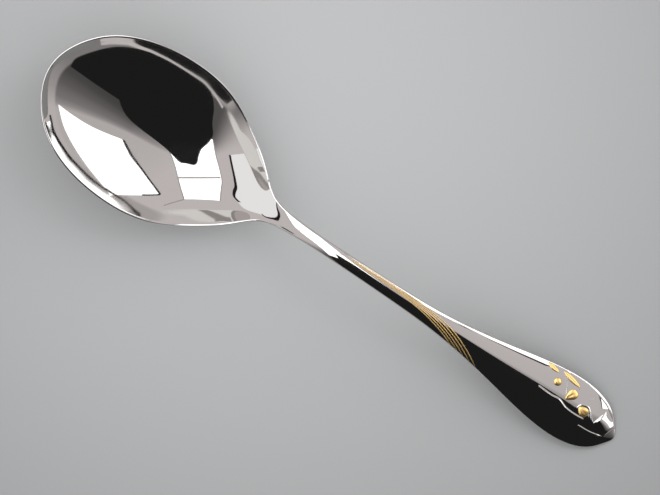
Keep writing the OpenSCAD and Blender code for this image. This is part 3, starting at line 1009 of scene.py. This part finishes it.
def dome_card(name, outline, layer, material, glossy_only):
    """A card in one layer of the dome."""
    made = bmesh.new()
    corners = [made.verts.new((x, y, 0)) for x, y in smooth_outline(outline)]
    face = made.faces.new(corners)
    bmesh.ops.triangulate(made, faces=[face])
    bmesh.ops.subdivide_edges(made, edges=made.edges, cuts=CARD_CUTS, use_grid_fill=True)
    for corner in made.verts:
        corner.co = on_dome(corner.co, DOME_RADIUS * layer)
    stage_card(name, made, material, glossy_only)


def dome_band(name, rows, layer, material):
    """A narrow band along a line in one layer of the dome."""
    made = bmesh.new()
    for part in band_parts(rows):
        line = smooth_path(part, BAND_STEPS)
        along = np.gradient(line[:, :2], axis=0)
        along /= np.linalg.norm(along, axis=1, keepdims=True)
        step = np.stack([-along[:, 1], along[:, 0]], axis=1) * line[:, 2:] / 2
        pairs = [
            [made.verts.new(on_dome(Vector((*p, 0)), DOME_RADIUS * layer)) for p in pair]
            for pair in zip(line[:, :2] - step, line[:, :2] + step)
        ]
        for (a, b), (c, d) in zip(pairs, pairs[1:]):
            made.faces.new((a, b, d, c))
    stage_card(name, made, material, True)


def studio_cards():
    """Sets up the cloth, panels, felt and frames that the steel reflects."""
    lit = glow("Lit softbox cloth", "ffffff", LIT_CLOTH, LIT_AGAIN)
    dim = glow("Softbox cloth, turned down", "ffffff", DIM_CLOTH)
    cloth = glow("Pale edge of the cloth", "d8d3d3")
    felt = glow("Black felt", "202020")
    tape = glow("Grey seam tape", "b4b0af")
    pipe = glow("Grey frame tube", "8e8b8a")
    dome_card("softbox", SOFTBOX, CARD_LAYER, lit, False)
    dome_band("softbox_rim", SOFTBOX_RIM, BAND_LAYER, felt)
    dome_card("panel", PANEL, CARD_LAYER, lit, True)
    dome_band("panel_seam", PANEL_SEAM, BAND_LAYER, tape)
    dome_band("panel_edge", PANEL_EDGE, BAND_LAYER, pipe)
    dome_band("panel_side", PANEL_SIDE, BAND_LAYER, tape)
    dome_card("wall_panel", WALL, CARD_LAYER, dim, True)
    dome_band("wall_frame", WALL_FRAME, BAND_LAYER, felt)
    dome_card("black_flag", FLAG, FLAG_LAYER, felt, True)
    dome_band("skirting", SKIRTING, BAND_LAYER, felt)
    dome_band("low_strip_light", STREAK, STREAK_LAYER, cloth)
    dome_band("low_light", LOW_LIGHT, BAND_LAYER, lit)
    dome_card("low_felt", LOW_FELT, FELT_LAYER, felt, True)


# The tent of pale cloth round the table. Each pair gives where a change starts and where
# it is complete: in radians of turn from -Y towards +X, in the way's share along +X, and
# in its share upwards
TENT_TURN = (1.3, 2.1)
NEAR_SIDE = (0.56, 0.22)
SHADE_FROM = (-0.55, -0.05)
SHADE_TO = (1.4, 1.1)
TENT_FOOT = (0.13, 0.09)
# Greys of the tent and of its foot over the turn, and on the near side
TENT_TONES = (
    (0.0, "4a4848"), (0.23, "555353"), (0.34, "605e5e"), (0.49, "6b6868"),
    (0.6, "787676"), (0.775, "878484"), (0.884, "a09c9c"), (0.99, "c8c3c3"),
)
FOOT_TONES = ((0.0, "8c8989"), (0.34, "a09c9c"), (0.66, "aeaaaa"), (0.99, "cfc9c9"))
NEAR_TENT_TONE = "d6d0d0"
NEAR_FOOT_TONE = "b9b4b4"
# Grey of the shade beside the flag, the light that reaches matt surfaces, and what the
# camera sees past the floor
SHADE_TONE = "5c5a5a"
MATT_LIGHT_TONE = "eeeeee"
BACKDROP_TONE = "bebebe"


def tent_tone(nodes, links, turned, near_side, tones, near_tone):
    """Tone of the tent at one height: greys over the turn, and one tone near by."""
    ramp = add_node(nodes, links, "ShaderNodeValToRGB", Fac=turned)
    stops = ramp.color_ramp.elements
    halfway = 0.5
    for _ in tones[2:]:
        stops.new(halfway)
    for stop, (place, code) in zip(stops, tones):
        stop.position = place
        stop.color = (*srgb(code), 1)
    near = (near_side, (*srgb(near_tone), 1))
    return laid_over(nodes, links, ramp.outputs["Color"], [near])


def studio_sky():
    """Tent cloth round the table: pale to -X, shaded to +X, dark beside the flag."""
    world = bpy.context.scene.world or bpy.data.worlds.new("Studio")
    bpy.context.scene.world = world
    world.use_nodes = True
    nodes, links = world.node_tree.nodes, world.node_tree.links
    nodes.clear()
    way = add_node(nodes, links, "ShaderNodeTexCoord").outputs["Generated"]
    parts = add_node(nodes, links, "ShaderNodeSeparateXYZ", Vector=way)
    x, y, z = (parts.outputs[k] for k in "XYZ")
    minus_y = add_node(
        nodes, links, "ShaderNodeMath", {"operation": "MULTIPLY"}, i0=y, i1=-1.0
    ).outputs["Value"]
    turn = add_node(
        nodes, links, "ShaderNodeMath", {"operation": "ARCTAN2"}, i0=x, i1=minus_y
    ).outputs["Value"]
    turned, near_side, shade_from, shade_to, low = (
        add_node(
            nodes, links, "ShaderNodeMapRange", {"interpolation_type": change},
            Value=value, From_Min=start, From_Max=stop,
        ).outputs["Result"]
        for value, change, (start, stop) in (
            (turn, "LINEAR", TENT_TURN),
            (x, "LINEAR", NEAR_SIDE),
            (turn, "SMOOTHSTEP", SHADE_FROM),
            (turn, "SMOOTHSTEP", SHADE_TO),
            (z, "SMOOTHSTEP", TENT_FOOT),
        )
    )
    shade = add_node(
        nodes, links, "ShaderNodeMath", {"operation": "MULTIPLY"}, i0=shade_from, i1=shade_to
    ).outputs["Value"]
    tent = tent_tone(nodes, links, turned, near_side, TENT_TONES, NEAR_TENT_TONE)
    foot = tent_tone(nodes, links, turned, near_side, FOOT_TONES, NEAR_FOOT_TONE)
    path = add_node(nodes, links, "ShaderNodeLightPath")
    tone = laid_over(nodes, links, tent, (
        (shade, (*srgb(SHADE_TONE), 1)),
        (low, foot),
        (path.outputs["Is Diffuse Ray"], (*srgb(MATT_LIGHT_TONE), 1)),
        (path.outputs["Is Camera Ray"], (*srgb(BACKDROP_TONE), 1)),
    ))
    light = add_node(nodes, links, "ShaderNodeBackground", Color=tone)
    add_node(nodes, links, "ShaderNodeOutputWorld", Surface=light.outputs["Background"])


FLOOR_HALF = 8.0
PAPER_FIBRE = 2 * MM
# The paper's colour has a painted pool of light: palest at the centre of a pool round the
# bowl, and over the pool's reach it dims, as painted shade, to a share of its tone
PAINTED_LIGHT_CENTRE = (-0.058, 0.042, 0.0)
PAINTED_LIGHT_REACH = 0.32
PAINTED_SHADE_EDGE_SHARE = 0.5


def floor_paper(studio):
    """Matt paper sweep, rolled out flat, with a painted pool of light: palest round the bowl,
    dimmed away by painted shade.

    Its fibres are drawn longer and coarser than real ones, so that they show.
    """
    material, nodes, links = new_material("Matt grey paper, painted pool of light")
    place = add_node(nodes, links, "ShaderNodeTexCoord").outputs["Object"]
    fibre = add_node(
        nodes, links, "ShaderNodeTexNoise", Vector=place, Scale=1 / PAPER_FIBRE, Detail=2.0
    )
    bump = add_node(
        nodes, links, "ShaderNodeBump",
        Strength=0.05, Distance=MARK_DEPTH, Height=fibre.outputs["Fac"],
    )
    # Painted pool of light: the paper's colour darkens with distance from the pool's centre,
    # as painted shade
    away = add_node(
        nodes, links, "ShaderNodeVectorMath", {"operation": "DISTANCE"},
        i0=place, i1=PAINTED_LIGHT_CENTRE,
    )
    painted_shade_share = add_node(
        nodes, links, "ShaderNodeMapRange", {"interpolation_type": "SMOOTHSTEP"},
        Value=away.outputs["Value"], From_Min=0.0, From_Max=PAINTED_LIGHT_REACH,
    )
    # Paper tone at the pool's edge, darkened as painted shade
    dark = [c * PAINTED_SHADE_EDGE_SHARE for c in studio.floor_colour]
    tone = laid_over(
        nodes, links, (*studio.floor_colour, 1), [(painted_shade_share.outputs["Result"], (*dark, 1))]
    )
    shader = add_node(
        nodes, links, "ShaderNodeBsdfPrincipled",
        Base_Color=tone, Roughness=0.95, Specular_IOR_Level=0.1,
        Normal=bump.outputs["Normal"],
    )
    add_node(nodes, links, "ShaderNodeOutputMaterial", Surface=shader.outputs["BSDF"])
    return material


# The camera looks straight down from high above the spoon's middle (metres), turned in
# degrees. Its frame has the photograph's pixels across and its pixels per millimetre
CAMERA_HEIGHT = 6.0
CAMERA_X = -1.6 * MM
CAMERA_Y = 0.9 * MM
CAMERA_TURN = 33.43
FOCUS_HEIGHT = 10 * MM
PIXELS_ACROSS = 660
PIXELS_PER_MM = 2.875
SENSOR = 36.0
FARTHEST_SEEN = 100.0


def add_camera():
    """Camera straight above, with a lens that fits its frame to the photograph's scale."""
    data = bpy.data.cameras.new("Camera")
    data.sensor_width = SENSOR
    view_width = PIXELS_ACROSS / PIXELS_PER_MM * MM
    data.lens = SENSOR * (CAMERA_HEIGHT - FOCUS_HEIGHT) / view_width
    data.clip_end = FARTHEST_SEEN
    camera = bpy.data.objects.new("Camera", data)
    camera.location = (CAMERA_X, CAMERA_Y, CAMERA_HEIGHT)
    camera.rotation_euler = (0, 0, np.radians(CAMERA_TURN))
    bpy.context.scene.collection.objects.link(camera)
    bpy.context.scene.camera = camera


KEY_PLACE = (0.25, 0.75, 1.1)
KEY_WIDTH = 0.6


def add_key_light(studio):
    """Round soft lamp past the +Y side, aimed at the spoon. The steel doesn't show it."""
    data = bpy.data.lights.new("Key", "AREA")
    data.shape = "DISK"
    data.size = KEY_WIDTH
    data.energy = studio.key_power
    key = bpy.data.objects.new("Key", data)
    place = Vector(KEY_PLACE)
    key.location = place
    key.rotation_mode = "QUATERNION"
    key.rotation_quaternion = (-place).to_track_quat("-Z", "Y")
    key.visible_glossy = False
    bpy.context.scene.collection.objects.link(key)


class SPOON_OT_studio(bpy.types.Operator):
    """Set the floor, the soft light, the reflected cards and the camera"""

    bl_idname = "spoon.studio"
    bl_label = "Studio"

    def execute(self, context):
        studio = context.scene.spoon_studio
        mesh = bpy.data.meshes.new("floor")
        h = FLOOR_HALF
        corners = [(-h, -h, 0), (h, -h, 0), (h, h, 0), (-h, h, 0)]
        mesh.from_pydata(corners, [], [(0, 1, 2, 3)])
        mesh.materials.append(floor_paper(studio))
        floor = bpy.data.objects.new("floor", mesh)
        bpy.context.scene.collection.objects.link(floor)
        studio_cards()
        studio_sky()
        add_key_light(studio)
        add_camera()
        context.scene.view_settings.view_transform = "Standard"
        return {"FINISHED"}


class SPOON_PT_sidebar(bpy.types.Panel):
    """The spoon's sizes, finish and pieces in the sidebar"""

    bl_idname = "SPOON_PT_sidebar"
    bl_label = "Serving spoon"
    bl_space_type = "VIEW_3D"
    bl_region_type = "UI"
    bl_category = "Spoon"

    def draw(self, context):
        scene = context.scene
        for group in (scene.spoon_sizes, scene.spoon_trim, scene.spoon_studio):
            column = self.layout.column()
            for name in group.__annotations__:
                column.prop(group, name)
        for operator in OPERATORS:
            self.layout.operator(operator.bl_idname)


OPERATORS = (
    SPOON_OT_body,
    SPOON_OT_gold_lines,
    SPOON_OT_leaves,
    SPOON_OT_buds,
    SPOON_OT_studio,
)
CLASSES = (SpoonSizes, SpoonTrim, SpoonStudio, *OPERATORS, SPOON_PT_sidebar)


def register():
    for cls in CLASSES:
        bpy.utils.register_class(cls)
    bpy.types.Scene.spoon_sizes = PointerProperty(type=SpoonSizes)
    bpy.types.Scene.spoon_trim = PointerProperty(type=SpoonTrim)
    bpy.types.Scene.spoon_studio = PointerProperty(type=SpoonStudio)


def unregister():
    for name in ("spoon_sizes", "spoon_trim", "spoon_studio"):
        delattr(bpy.types.Scene, name)
    for cls in reversed(CLASSES):
        bpy.utils.unregister_class(cls)


def main():
    """Builds the spoon and its studio."""
    register()
    bpy.ops.spoon.body()
    bpy.ops.spoon.gold_lines()
    bpy.ops.spoon.leaves()
    bpy.ops.spoon.buds()
    bpy.ops.spoon.studio()


if __name__ == "__main__":
    main()
